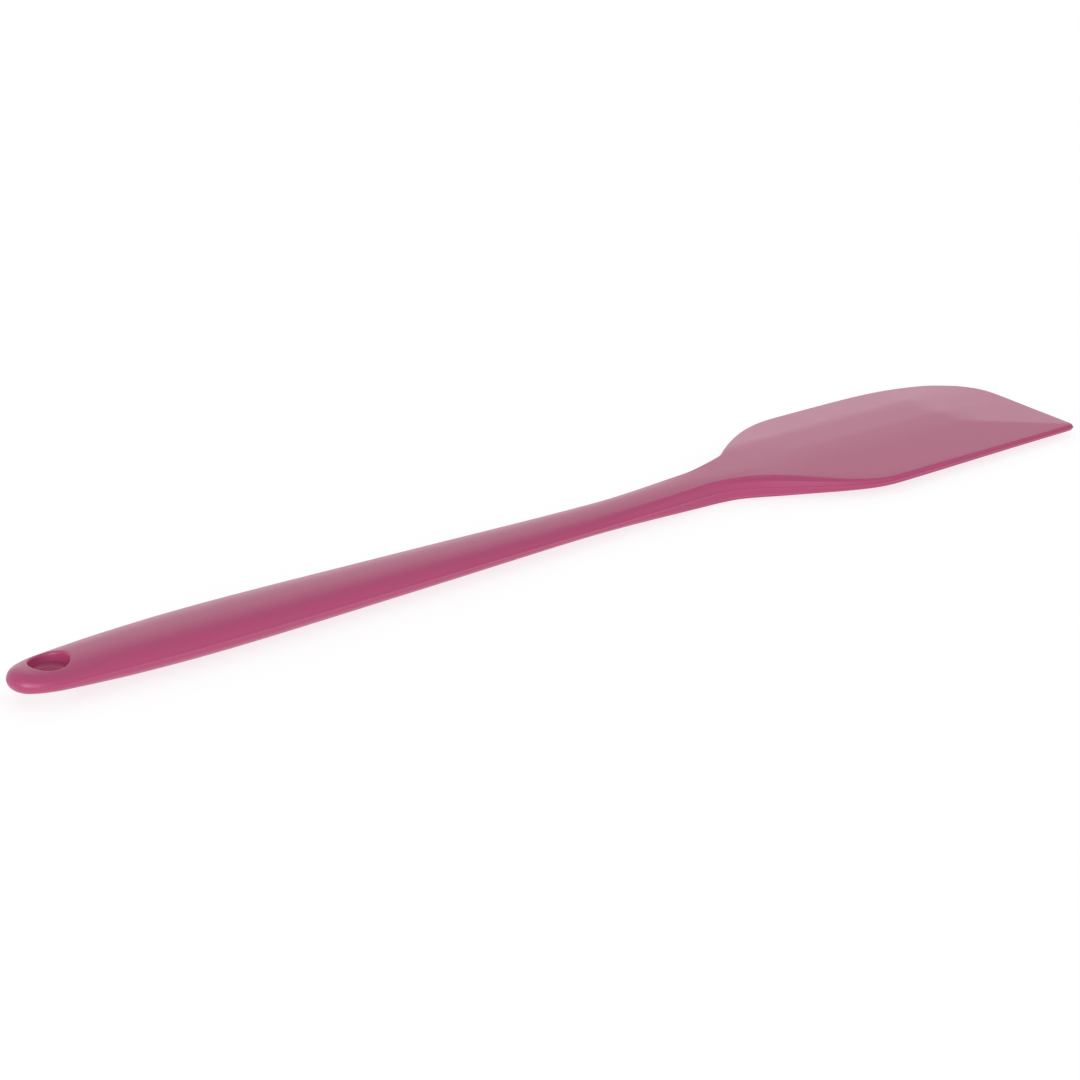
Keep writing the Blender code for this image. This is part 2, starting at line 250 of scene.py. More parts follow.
def blade_height(x, y):
    """Height of the blade's face above the parting plane: a plateau with bevels on three sides."""
    side = -1 if y < 0 else 1
    softness = RIDGE_SOFTNESS
    if side < 0:
        softness = mix(HIP_SOFTNESS, RIDGE_SOFTNESS, ease(x, ROOT, PLATEAU_END))
    across = hinge(abs(y), plateau_half_width(x, side), blade_half_width(x, side), softness)
    along = hinge(x, PLATEAU_END, LENGTH, RIDGE_SOFTNESS)
    if side < 0:
        fall = max(across, along)
    else:
        fall = min(1.0, (across**CORNER_POWER + along**CORNER_POWER) ** (1 / CORNER_POWER))
    return mix(half_thickness(x), edge_thickness(x, across, along) / 2, fall)


edges = (SHOULDER_EDGE_THICKNESS, EDGE_THICKNESS, TIP_THICKNESS)
print("edge at the shoulder, the corner and the tip, mm:", [round(edge / MM, 1) for edge in edges])

# %% The handle's oval, inside the thin parting ridge, and how it turns into the blade
NOSE_RIDGE = 0.10 * MM
RIDGE = 0.30 * MM
RIDGE_FULL = 30 * MM
OVAL_POWER = 2.2
SQUARED_ON_STRAIGHT_SIDE = (LENGTH - 136 * MM, LENGTH - 78 * MM)
SQUARED_ON_CURVED_SIDE = (LENGTH - 122 * MM, LENGTH - 89 * MM)


def ridge(x):
    """How far the parting ridge stands out. It is lowest round the handle's end."""
    return mix(NOSE_RIDGE, RIDGE, ease(x, 0, RIDGE_FULL))


def squared(x, side):
    """How far the oval neck has turned into the flat blade. The curved side turns sooner."""
    return ease(x, *(SQUARED_ON_CURVED_SIDE if side > 0 else SQUARED_ON_STRAIGHT_SIDE))


def handle_height(x, y):
    """Height of the handle's oval above the parting plane."""
    width = (handle_half_width(x) - ridge(x)) * quarter_round(x - ridge(x), END_ROUND)
    height = half_thickness(x) * quarter_round(x - ridge(x), NOSE_LENGTH)
    across = min(1.0, abs(y) / max(width, NOSE_RIDGE))
    return height * (1 - across**OVAL_POWER) ** (1 / OVAL_POWER)


def face_height(x, y):
    """Height of the middle of the spatula, which is oval, flat or between the two."""
    return mix(handle_height(x, y), blade_height(x, y), squared(x, y))


print("handle's thickness at its belly, mm:", round(2 * face_height(BELLY[0], 0) / MM, 2))

# %% [markdown]
# ## A grid of points that follows the form
#
# The skin could be lofted from rings along its length, but the rings would shrink to a pole at the
# handle's end and bunch up at the tip, and both would show as pinches in a glossy surface. So the
# mesh is laid out as a modeller lays out a face: a flat strip runs down the middle of the top, and
# loops run round it, like contour lines, out to the parting line. They go round the handle's end and
# round the blade's tip alike, so there is no pole anywhere. Each ridge and ledge has its own loop.

# %% Stations along the strip, and lines across it
HOLE_X = 9.95 * MM
HOLE_RADIUS = 4.4 * MM
RIM = 0.8 * MM
HOLE_ROW_TURNS = (-36, -18, 0, 18, 36)
HOLE_BLOCK = ((1, 5), (1, 7))
AFTER_HOLE = 1.8 * MM
PIN_PLACES = (40 * MM, 100 * MM, 160 * MM)
PIN_RADIUS = 1.0 * MM
PIN_ROW = 0.6 * PIN_RADIUS
AFTER_PIN = 3 * MM
NECK_END = LENGTH - 112 * MM
KINK_ROWS_APART = 0.9 * MM
LAST_BEFORE_END = PLATEAU_END - 1.8 * MM
HANDLE_STEP = 6.5 * MM
NECK_STEP = 5 * MM
SHOULDER_STEP = 2.7 * MM
BLADE_STEP = 4.5 * MM
LINES = (-1.0, -0.8, -0.5, -0.25, 0.0, 0.25, 0.5, 0.8, 1.0)


def evenly(start, end, step):
    """Places from start up to but not including end, about one step apart."""
    count = max(1, round((end - start) / step))
    return [start + (end - start) * i / count for i in range(count)]


def strip_stations():
    """Places along x of the strip's rows. The first row is the handle's end."""
    rim = HOLE_RADIUS + RIM
    places = [END_ROUND / 2]
    places += [HOLE_X + rim * math.sin(math.radians(turn)) for turn in HOLE_ROW_TURNS]
    start = HOLE_X + rim + AFTER_HOLE
    for pin in PIN_PLACES:
        places += evenly(start, pin - PIN_ROW, HANDLE_STEP)
        places += [pin - PIN_ROW, pin, pin + PIN_ROW]
        start = pin + PIN_ROW + AFTER_PIN
    places += evenly(start, NECK_END, NECK_STEP)
    places += evenly(NECK_END, KINK - KINK_ROWS_APART, SHOULDER_STEP)
    places += [KINK - KINK_ROWS_APART, KINK, KINK + KINK_ROWS_APART]
    places += evenly(KINK + 3 * KINK_ROWS_APART, SHOULDER_END, SHOULDER_STEP)
    places += evenly(SHOULDER_END, LAST_BEFORE_END, BLADE_STEP)
    return places + [LAST_BEFORE_END, PLATEAU_END]


STATIONS = strip_stations()
ROWS = len(STATIONS) - 1
print("strip:", ROWS, "rows of", len(LINES) - 1, "faces")

# %% Where the strip's edge runs, and how a block of it turns into a circle
WIDE_STRIP = 0.82
NARROW_STRIP = 0.46
NARROWED = HOLE_X + 22 * MM
PLATEAU_MOST = 0.72
EDGE_ROUND = 0.4 * MM


def strip_edge(x, side):
    """Half width of the strip: wide round the hole, and as wide as the plateau on the blade."""
    narrowing = ease(x, HOLE_X + HOLE_RADIUS, NARROWED)
    handle = mix(WIDE_STRIP, NARROW_STRIP, narrowing) * (half_width(x, side) - ridge(x))
    crest = half_width(x, side) - EDGE_ROUND
    blade = min(plateau_half_width(x, side), PLATEAU_MOST * crest)
    return mix(handle, blade, squared(x, side))


def in_block(row, line, block):
    """Whether a row and a line lie in a block of the strip, its rim included."""
    rows, lines = block
    return rows[0] <= row <= rows[1] and lines[0] <= line <= lines[1]


def round_hole(row, line, centre, radius, block):
    """Where a point on the rim of a block of faces goes when the rim becomes a circle."""
    rows, lines = block
    tall, wide = rows[1] - rows[0], lines[1] - lines[0]
    across = (line - (lines[0] + lines[1]) / 2) / wide * 2
    along = (row - (rows[0] + rows[1]) / 2) / tall * 2
    corner = 90 * tall / (tall + wide)
    if abs(across) == 1:
        angle = math.radians(90 * across - corner * across * along)
    else:
        angle = math.radians((90 - corner) * across)
        if along < 0:
            angle = math.pi - angle
    return Vector((centre + radius * math.cos(angle), radius * math.sin(angle)))


print("strip's half width at the belly, mm:", round(strip_edge(BELLY[0], 1) / MM, 2))

# %% Where the strip's points lie
END_TURNS = (-54, -42, -27, -13, 0, 13, 27, 42, 54)
END_STRIP_REACH = 0.60
END_STRIP_SPREAD = 0.80


def strip_place(row, line):
    """Where a point of the strip lies, seen from above."""
    if row == 0:
        turn = math.radians(END_TURNS[line])
        spread = END_STRIP_SPREAD * (handle_half_width(END_ROUND) - NOSE_RIDGE)
        return Vector((END_ROUND * (1 - END_STRIP_REACH * math.cos(turn)), spread * math.sin(turn)))
    if in_block(row, line, HOLE_BLOCK):
        return round_hole(row, line, HOLE_X, HOLE_RADIUS + RIM, HOLE_BLOCK)
    x = STATIONS[row]
    side = -1 if LINES[line] < 0 else 1
    return Vector((x, LINES[line] * strip_edge(x, side)))


middle_line = len(LINES) // 2
reach = [round(strip_place(row, middle_line).x / MM, 1) for row in (0, ROWS)]
print("the strip runs from and to, mm:", reach)

# %% Where the outline runs, and which way is out
CORNER_RADIUS = 1.6 * MM
CORNER_SUPPORT = 1.3 * CORNER_RADIUS
TIP_SPREAD = (-1.0, 0.0, 0.3, 0.52, 0.75, 1.0)
FAR_TURNS = (0, 10, 27, 45)
FAR_STRETCH_START = LENGTH - 72 * MM
SLOPE_STEP = 0.05 * MM
TURN_STEP = 0.5


def outline_place(row, line):
    """The point of the outline that belongs to a point on the strip's rim, and the direction out."""
    if row == 0:
        turn = math.radians(END_TURNS[line])
        half = handle_half_width(END_ROUND)
        out = Vector((-half * math.cos(turn), END_ROUND * math.sin(turn)))
        return Vector((END_ROUND * (1 - math.cos(turn)), half * math.sin(turn))), out.normalized()
    if row == ROWS:
        return tip_place(line)
    side = -1 if line == 0 else 1
    x = STATIONS[row]
    if side < 0:
        stretch = share(x, FAR_STRETCH_START, STATIONS[-2])
        reach = LENGTH - CORNER_SUPPORT - STATIONS[-2]
        x += reach * stretch**2
        return side_place(x, side)
    last = far_curve(FAR_TURNS[-1])[0]
    x += (last - STATIONS[-1]) * share(x, FAR_STRETCH_START, STATIONS[-1]) ** 2
    if x <= CURVE_START:
        return side_place(x, side)
    return curve_place(math.degrees(math.acos(share(x, CURVE_START, LENGTH) ** (CURVE_POWER / 2))))


def side_place(x, side):
    """The outline of one side at x, and the direction out, which is square to its slope there."""
    before, after = half_width(x - SLOPE_STEP, side), half_width(x + SLOPE_STEP, side)
    slope = (after - before) / (2 * SLOPE_STEP)
    return Vector((x, side * half_width(x, side))), Vector((-slope, side)).normalized()


def curve_place(turn):
    """The same for a turn round the big corner."""
    before = far_curve(max(turn - TURN_STEP, 0.0))
    after = far_curve(min(turn + TURN_STEP, 90.0))
    along = (after - before).normalized()
    return far_curve(turn), Vector((along.y, -along.x))


def tip_place(line):
    """Points along the tip, from the square corner over the straight edge to the round corner."""
    if line == 0:
        return Vector((LENGTH, -STRAIGHT_SIDE_TIP)), Vector((1, -1))
    beyond = line - (len(TIP_SPREAD) - 1)
    if beyond > 0:
        return curve_place(FAR_TURNS[beyond])
    start = -STRAIGHT_SIDE_TIP + CORNER_SUPPORT
    return Vector((LENGTH, mix(start, CURVE_END_HALF_WIDTH, TIP_SPREAD[line]))), Vector((1, 0))


print("outline at the square corner, mm:", [round(v / MM, 1) for v in tip_place(0)[0]])

# %% [markdown]
# ## The loops from the strip out to the parting line
#
# Loops are extruded outwards from the strip's rim, one for each thing that the eye can follow:
# three over the facet, one on the crest, and then down the side wall the crest's foot, the ledge, the
# flange and the parting ridge. On the handle the same loops simply lie round the oval.

# %% Shares that place each loop: of the wall's height, and of the ledge's depth
FACE_LOOPS = (0.13, 0.5, 0.9)
WALL_LOOPS = (
    ("crest", 0.94, 1.0),
    ("crest foot", 0.86, 1.0),
    ("ledge, inner edge", 0.73, 0.95),
    ("ledge, outer edge", 0.70, 0.30),
    ("flange edge", 0.57, 0.02),
    ("flange", 0.30, 0.0),
)
LOOPS = len(FACE_LOOPS) + len(WALL_LOOPS) + 2
RIDGE_FOOT_HEIGHT = 0.28 * MM
LEDGE_DEPTH = 0.8 * MM
CURVED_SIDE_LEDGE_DEPTH = 0.2 * MM
LEDGE_START = LENGTH - 93 * MM
LEDGE_FULL = LENGTH - 85 * MM
LEDGE_END = LENGTH - 56 * MM
END_RIM_TURN = 50


def wall_place(outline, out, up, stepped):
    """A point on the blade's side wall, where a ledge runs along the shoulder."""
    x = outline.x
    depth = CURVED_SIDE_LEDGE_DEPTH if out.y > 0 else LEDGE_DEPTH
    ledge = depth * ease(x, LEDGE_START, LEDGE_FULL) * (1 - ease(x, LEDGE_FULL, LEDGE_END))
    crest = outline - out * (ridge(x) + EDGE_ROUND)
    place = outline - out * (ridge(x) + ledge * stepped + EDGE_ROUND * up**3)
    return place, mix(RIDGE_FOOT_HEIGHT, blade_height(crest.x, crest.y), up)


def blade_loop(row, line, loop):
    """A point of one loop on the blade, as its place from above and its height."""
    rim = strip_place(row, line)
    outline, out = outline_place(row, line)
    if loop < len(FACE_LOOPS):
        crest, _ = wall_place(outline, out, *WALL_LOOPS[0][1:])
        place = rim.lerp(crest, FACE_LOOPS[loop])
        return place, blade_height(place.x, place.y)
    if loop < LOOPS - 2:
        return wall_place(outline, out, *WALL_LOOPS[loop - len(FACE_LOOPS)][1:])
    return outline - out * ridge(outline.x), RIDGE_FOOT_HEIGHT


def handle_loop(row, line, loop):
    """The same for a loop on the handle's oval, where equal turns lie between the loops."""
    rim = strip_place(row, line)
    outline, out = outline_place(row, line)
    base = outline - out * ridge(outline.x)
    rim_turn = math.radians(END_RIM_TURN)
    if row > 0:
        rim_turn = math.acos(min(1.0, abs(rim.y) / abs(base.y)))
    foot_turn = math.asin(RIDGE_FOOT_HEIGHT / half_thickness(rim.x))
    turn = mix(rim_turn, foot_turn, (loop + 1) / (LOOPS - 1))
    place = base.lerp(rim, (1 - math.cos(turn)) / (1 - math.cos(rim_turn)))
    return place, max(RIDGE_FOOT_HEIGHT, handle_height(place.x, place.y))


def loop_place(row, line, loop):
    """Where a point of a loop goes. The last loop is the ridge's peak, on the outline itself."""
    outline, _ = outline_place(row, line)
    if loop == LOOPS - 1:
        return Vector((*outline, 0.0))
    blade = squared(outline.x, outline.y)
    if blade == 0:
        place, height = handle_loop(row, line, loop)
    elif blade == 1:
        place, height = blade_loop(row, line, loop)
    else:
        oval, low = handle_loop(row, line, loop)
        flat, high = blade_loop(row, line, loop)
        place, height = oval.lerp(flat, blade), mix(low, high, blade)
    return Vector((*place, height))


def strip_point(row, line):
    """Where a point of the strip goes, with its height."""
    place = strip_place(row, line)
    return Vector((*place, face_height(place.x, place.y)))


print("loops outside the strip:", LOOPS)

# %% [markdown]
# ## Modelling the upper half
#
# The strip starts as a grid primitive. Each of its points is slid to its place with the move tool,
# then its rim is extruded loop after loop. Two whole numbers on every point, its row and its line,
# remember where it started, and an extruded point inherits them, so it knows which spoke it is on.

# %% Tools for picking and moving points
def nothing_selected():
    """Leaves edit mode and deselects every object."""
    if bpy.context.mode != "OBJECT":
        bpy.ops.object.mode_set(mode="OBJECT")
    bpy.ops.object.select_all(action="DESELECT")


def edit_mesh(thing):
    """The mesh that is open in edit mode, with its points ready to be indexed."""
    shape = bmesh.from_edit_mesh(thing.data)
    shape.verts.ensure_lookup_table()
    return shape


def spoke_layers(shape):
    """The two whole numbers that every point carries."""
    return shape.verts.layers.int["row"], shape.verts.layers.int["line"]


def spokes_of(thing):
    """Row and line of each selected point, by the point's index."""
    shape = edit_mesh(thing)
    row, line = spoke_layers(shape)
    return {point.index: (point[row], point[line]) for point in shape.verts if point.select}


def pick(thing, indices):
    """Selects the points with these indices and no other, and returns the open mesh."""
    shape = edit_mesh(thing)
    bpy.ops.mesh.select_all(action="DESELECT")
    for index in indices:
        shape.verts[index].select = True
    shape.select_flush_mode()
    return shape


def slide(thing, index, target):
    """Moves one point to a target with the move tool."""
    shape = pick(thing, [index])
    bpy.ops.transform.translate(value=target - shape.verts[index].co)


def slide_to(thing, where):
    """Slides each selected point to where its row and line say, and picks them all again."""
    spots = spokes_of(thing)
    for index, spot in spots.items():
        slide(thing, index, where(*spot))
    pick(thing, spots)
    return len(spots)


def extrude_to(thing, where):
    """Extrudes the selected rim and slides its new points to where their rows and lines say."""
    bpy.ops.mesh.extrude_edges_move()
    return slide_to(thing, where)


# %% The strip down the middle
nothing_selected()
bpy.ops.mesh.primitive_grid_add(x_subdivisions=ROWS, y_subdivisions=len(LINES) - 1, size=1)
skin = bpy.context.object
skin.name = "spatula_silicone_skin"
bpy.ops.object.mode_set(mode="EDIT")
bpy.ops.mesh.select_mode(type="VERT")
grid = edit_mesh(skin)
grid.verts.layers.int.new("row")
grid.verts.layers.int.new("line")
row_of, line_of = spoke_layers(grid)
for point in grid.verts:
    point[row_of] = round((point.co.x + 0.5) * ROWS)
    point[line_of] = round((point.co.y + 0.5) * (len(LINES) - 1))
bmesh.update_edit_mesh(skin.data)
bpy.ops.mesh.select_all(action="SELECT")
print("strip points:", slide_to(skin, strip_point))

# %% The loops round it
bpy.ops.mesh.select_all(action="SELECT")
bpy.ops.mesh.region_to_loop()
for loop in range(LOOPS):
    rim = extrude_to(skin, lambda row, line: loop_place(row, line, loop))
print("points with all loops:", len(edit_mesh(skin).verts), "of which on the parting line:", rim)

# %% [markdown]
# ## The hanging hole
#
# The hole is moulded with the skin, so its rim is soft and rounded, and the two halves of its core
# pin meet in a thin line half way down. A Boolean cut would give a hard edge and untidy faces, so a
# block of the strip's faces is deleted instead, whose rim already lies in a circle, and that rim is
# extruded inwards over the rounding and down the wall.

# %% Opening the strip
def open_block(thing, block, side):
    """Deletes a block of the strip's faces, above or below, and selects the rim of the opening."""
    bpy.ops.mesh.select_mode(type="FACE")
    bpy.ops.mesh.select_all(action="DESELECT")
    shape = edit_mesh(thing)
    row, line = spoke_layers(shape)
    for face in shape.faces:
        inside = all(in_block(point[row], point[line], block) for point in face.verts)
        face.select = inside and face.calc_center_median().z * side > 0
    opened = sum(face.select for face in shape.faces)
    bpy.ops.mesh.delete(type="FACE")
    bpy.ops.mesh.select_mode(type="VERT")
    shape = edit_mesh(thing)
    row, line = spoke_layers(shape)
    for point in shape.verts:
        point.select = in_block(point[row], point[line], block) and point.co.z * side > 0
    shape.select_flush_mode()
    return opened


print("faces opened for the hole:", open_block(skin, HOLE_BLOCK, 1))

# %% Rolling the rim inwards, and the thin line half way down
# Each loop has a radius. Then comes its height: first as a share of the handle's own, then in metres.
HOLE_RIDGE = 0.42 * MM
RIM_LOOPS = (
    (HOLE_RADIUS + 0.45 * RIM, 0.99),
    (HOLE_RADIUS + 0.12 * RIM, 0.91),
    (HOLE_RADIUS, 0.72),
    (HOLE_RADIUS, 0.38),
)
HOLE_RIDGE_LOOPS = (
    (HOLE_RADIUS, RIDGE_FOOT_HEIGHT),
    (HOLE_RADIUS - HOLE_RIDGE, 0),
)


def circle_point(row, line, block, centre, radius, high):
    """A point on a circle. Subdivision draws each point a sixth of the way to each neighbour, so
    the circle is widened by that much."""
    sides = 2 * (block[0][1] - block[0][0] + block[1][1] - block[1][0])
    widened = radius * 6 / (4 + 2 * math.cos(2 * math.pi / sides))
    return Vector((*round_hole(row, line, centre, widened, block), high))


def level_circle(block, centre, radius, high):
    """Where the points of a circle go that lies at one height."""
    def where(row, line):
        return circle_point(row, line, block, centre, radius, high)
    return where


def hole_circle(radius, up):
    """The same for a circle that follows the handle's surface, at a share up of its height."""
    def where(row, line):
        edge = round_hole(row, line, HOLE_X, HOLE_RADIUS + RIM / 2, HOLE_BLOCK)
        return circle_point(row, line, HOLE_BLOCK, HOLE_X, radius, handle_height(edge.x, edge.y) * up)
    return where


for radius, up in RIM_LOOPS:
    extrude_to(skin, hole_circle(radius, up))
for radius, high in HOLE_RIDGE_LOOPS:
    spokes = extrude_to(skin, level_circle(HOLE_BLOCK, HOLE_X, radius, high))
print("spokes round the hole:", spokes)

# %% [markdown]
# ## The other half
#
# The lower half of the mould is the upper one's mirror image, down to the ridge where they meet. A
# Mirror modifier makes it, and merging its middle gives one closed skin. Only the blade's upper face
# differs: it is crowned a little along its middle, as large flat faces often are, so that it never
# looks hollow.

# %% Mirroring the upper half
SAME_POINT = 0.01 * MM

nothing_selected()
skin.select_set(True)
bpy.context.view_layer.objects.active = skin
halves = skin.modifiers.new("lower half", "MIRROR")
halves.use_axis = (False, False, True)
halves.merge_threshold = SAME_POINT
bpy.ops.object.modifier_apply(modifier=halves.name)
bpy.ops.object.mode_set(mode="EDIT")
bpy.ops.mesh.select_all(action="DESELECT")
print("points in both halves:", len(edit_mesh(skin).verts))

# %% Crowning the top of the blade
PLATEAU_CROWN = 0.25 * MM


def plateau_crown(x, y):
    """How far the middle of the blade's upper face stands above its flat underside's mirror image."""
    side = -1 if y < 0 else 1
    along = ease(x, ROOT, SHOULDER_END) * (1 - share(x, PLATEAU_END, LENGTH))
    return PLATEAU_CROWN * along * share(abs(y), plateau_half_width(x, side), 0)


crowned = {}
for point in edit_mesh(skin).verts:
    lift = plateau_crown(point.co.x, point.co.y) if point.co.z > 0 else 0
    if lift > 0:
        crowned[point.index] = point.co + Vector((0, 0, lift))
for index, target in crowned.items():
    slide(skin, index, target)
print("points crowned:", len(crowned))

# %% [markdown]
# ## Pin holes underneath
#
# While silicone is moulded round a core, pins in the lower mould hold the core off the wall, and each
# leaves a small round hole. The photograph does not show the underside, so these three follow how
# such handles are usually made. They are opened like the hanging hole. Each one's floor lies a little
# inside the core, so that nylon shows at the bottom.

# %% Three wells down to the core
SKIN_WALL = 1.2 * MM
FLOOR_IN_CORE = 0.4 * MM
WELL_DEPTH = SKIN_WALL + FLOOR_IN_CORE
WELL_RIM = 1.35 * PIN_RADIUS
WELL_LOOPS = (
    (1.08 * PIN_RADIUS, 0.06 * MM),
    (PIN_RADIUS, 0.25 * MM),
    (PIN_RADIUS, WELL_DEPTH),
)
PIN_LINES = (2, 6)


def well_rim(block, centre):
    """Where the points of a well's rim go, on the handle's underside."""
    def where(row, line):
        place = round_hole(row, line, centre, WELL_RIM, block)
        return Vector((*place, -face_height(place.x, place.y)))
    return where


for centre in PIN_PLACES:
    middle = min(range(ROWS), key=lambda row: abs(STATIONS[row] - centre))
    block = ((middle - 1, middle + 1), PIN_LINES)
    open_block(skin, block, -1)
    slide_to(skin, well_rim(block, centre))
    for radius, depth in WELL_LOOPS:
        extrude_to(skin, level_circle(block, centre, radius, depth - half_thickness(centre)))
    bpy.ops.mesh.extrude_edges_move()
    bpy.ops.mesh.merge(type="CENTER")
    print("pin hole at", round(centre / MM), "mm")

# %% [markdown]
# ## On the table
#
# The mould's parting plane is tipped by about 0.6 degrees, so that the blade's flat underside and
# the handle's belly both touch the table. The skin is turned about the belly, lifted, and centred.

# %% Tipping and placing
MIDDLE_Y = (CURVED_SIDE - STRAIGHT_SIDE) / 2

turn = Matrix.Rotation(-math.atan(PARTING_SLOPE), 4, "Y")
pivot = Vector((BELLY[0], 0, 0))
bpy.ops.object.mode_set(mode="OBJECT")
skin.data.transform(Matrix.Translation(pivot) @ turn @ Matrix.Translation(-pivot))
skin.data.transform(Matrix.Translation((-LENGTH / 2, -MIDDLE_Y, BELLY[1] / 2)))
bpy.ops.object.mode_set(mode="EDIT")
bpy.ops.mesh.select_all(action="DESELECT")
shape = edit_mesh(skin)
print("lowest point, mm:", round(min(point.co.z for point in shape.verts) / MM, 4))

# %% Flattening the blade's underside
FLAT_WITHIN = 0.05 * MM
FLAT_START = ROOT - 1 * MM - LENGTH / 2

for point in shape.verts:
    point.select = point.co.z < FLAT_WITHIN and point.co.x > FLAT_START
shape.select_flush_mode()
flat_points = sum(point.select for point in shape.verts)
bpy.ops.transform.resize(value=(1, 1, 0), center_override=(0, 0, 0))
print("points laid flat:", flat_points)

# %% Smoothing
bpy.ops.mesh.select_all(action="SELECT")
bpy.ops.mesh.normals_make_consistent(inside=False)
bpy.ops.object.mode_set(mode="OBJECT")
round_off = skin.modifiers.new("soft surface", "SUBSURF")
round_off.levels = 2
round_off.render_levels = 2
bpy.ops.object.modifier_apply(modifier=round_off.name)
bpy.ops.object.shade_smooth()
for layer in ("row", "line"):
    skin.data.attributes.remove(skin.data.attributes[layer])
print("skin faces:", len(skin.data.polygons))

# %% Standing in for the frame's solid
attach(skin, "root")
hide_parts("silicone_skin")
print(skin.name, "is drawn in place of silicone_skin")

# %% [markdown]
# ## Finishes
#
# The silicone is pigmented all through, with the satin surface of a blasted mould: a soft highlight,
# and a pale veil where the light grazes it. A Principled shader gives both by itself, as long as the
# colour is deep and what surrounds the object is white, so the nodes only add what a flat colour
# lacks: a fine grain, a slow drift of tone, and patches a little duller than others.

# %% Sockets that add up like numbers
class Wire:
    """One output of a node. Sums with it add Math nodes to its tree."""

    def __init__(self, board, socket):
        self.board = board
        self.socket = socket

    def sum(self, operation, first, second):
        return self.board.node("ShaderNodeMath", {"operation": operation}, {0: first, 1: second})

    def __add__(self, other):
        return self.sum("ADD", self, other)

    def __radd__(self, other):
        return self.sum("ADD", other, self)

    def __mul__(self, other):
        return self.sum("MULTIPLY", self, other)

    def __rmul__(self, other):
        return self.sum("MULTIPLY", other, self)


# %% A tree of nodes, and a material
class Board:
    """A node tree, with one method that adds any node to it."""

    def __init__(self, tree):
        self.tree = tree

    def node(self, kind, settings, sockets, output=0):
        """Adds a node, sets it, fills its sockets with values or wires, and returns one output."""
        made = self.tree.nodes.new(kind)
        for name, value in settings.items():
            setattr(made, name, value)
        for name, value in sockets.items():
            self.feed(made.inputs[name], value)
        return Wire(self, made.outputs[output])

    def feed(self, socket, value):
        if isinstance(value, Wire):
            self.tree.links.new(value.socket, socket)
        else:
            socket.default_value = value


class Finish(Board):
    """A new material with a Principled shader."""

    def __init__(self, name, settings):
        self.material = bpy.data.materials.new(name)
        self.material.use_nodes = True
        super().__init__(self.material.node_tree)
        self.shader = self.tree.nodes["Principled BSDF"]
        for socket, value in settings.items():
            self.shader.inputs[socket].default_value = value

    def noise(self, size, detail=2.0):
        """A noise of a real size in metres, from 0 to 1."""
        place = self.node("ShaderNodeTexCoord", {}, {}, "Object")
        sockets = {"Vector": place, "Scale": 1 / size, "Detail": detail}
        return self.node("ShaderNodeTexNoise", {}, sockets)

    def blend(self, factor, first, second):
        """A colour between two, by a wire from 0 to 1. A Mix node's colour sockets are 6, 7 and 2."""
        sockets = {"Factor": factor, 6: (*first, 1), 7: (*second, 1)}
        return self.node("ShaderNodeMix", {"data_type": "RGBA"}, sockets, 2)


# %% The silicone
SILICONE = (0.430, 0.0495, 0.156)
SILICONE_DEEP = (0.414, 0.0465, 0.149)
DRIFT_SIZE = 18 * MM
PATCH_SIZE = 6 * MM
GRAIN_SIZE = 0.16 * MM
GRAIN_HEIGHT = 0.02 * MM

silicone = Finish("satin_raspberry_silicone", {"IOR": 1.5})
tone = silicone.blend(silicone.noise(DRIFT_SIZE), SILICONE_DEEP, SILICONE)
dullness = silicone.noise(PATCH_SIZE, 3.0)
grain = silicone.noise(GRAIN_SIZE, 1.0)
relief = {"Strength": 0.12, "Distance": GRAIN_HEIGHT, "Height": grain}
bump = silicone.node("ShaderNodeBump", {}, relief, "Normal")
silicone.feed(silicone.shader.inputs["Base Color"], tone)
silicone.feed(silicone.shader.inputs["Roughness"], 0.33 + 0.04 * dullness)
silicone.feed(silicone.shader.inputs["Normal"], bump)
skin.data.materials.clear()
skin.data.materials.append(silicone.material)
print("silicone nodes:", len(silicone.tree.nodes))

# %% [markdown]
# ## The core's nylon
#
# The core shows only at the bottom of the three pin holes. Its mesh comes from the frame and is right
# as it is, so it just gets a material. Nothing shows its real colour: undyed glass-filled nylon is
# ivory, with a faint mottle from the fibres, and that is what is used here.

# %% The nylon core
NYLON = (0.58, 0.56, 0.50)
NYLON_DARK = (0.52, 0.50, 0.44)
MOTTLE_SIZE = 2.5 * MM

nylon = Finish("ivory_moulded_nylon", {"Roughness": 0.5})
mottle = nylon.noise(MOTTLE_SIZE, 3.0)
nylon.feed(nylon.shader.inputs["Base Color"], nylon.blend(mottle, NYLON_DARK, NYLON))
nylon.feed(nylon.shader.inputs["Roughness"], 0.45 + 0.15 * mottle)
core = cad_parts["stiffening_core"]
for slot in core.material_slots:
    slot.material = nylon.material
print("core slots:", len(core.material_slots))

# %% [markdown]
# ## The studio
#
# Such a spatula is photographed in a light tent: white cloth all round and a sheet of white acrylic
# below, lit from under as well, so that the object's lower side stays bright and its shadow faint.
# Here the room is white, at strength 1 where the camera or a reflection sees it, and the table gives
# part of its white as a glow. On the left a long low lamp lights the near side, and a small one
# beside it draws the highlight on the handle's end. Two wide lamps behind the spatula lay the pale
# veil on its top.

# %% Table
TABLE_SIZE = 8
TABLE_GLOW = 0.775
TABLE_LIGHT = (0.31, 0.31, 0.31)
TABLE_DARK = (0.29, 0.29, 0.29)
CLOUD_SIZE = 30 * MM
WHITE = (1, 1, 1, 1)

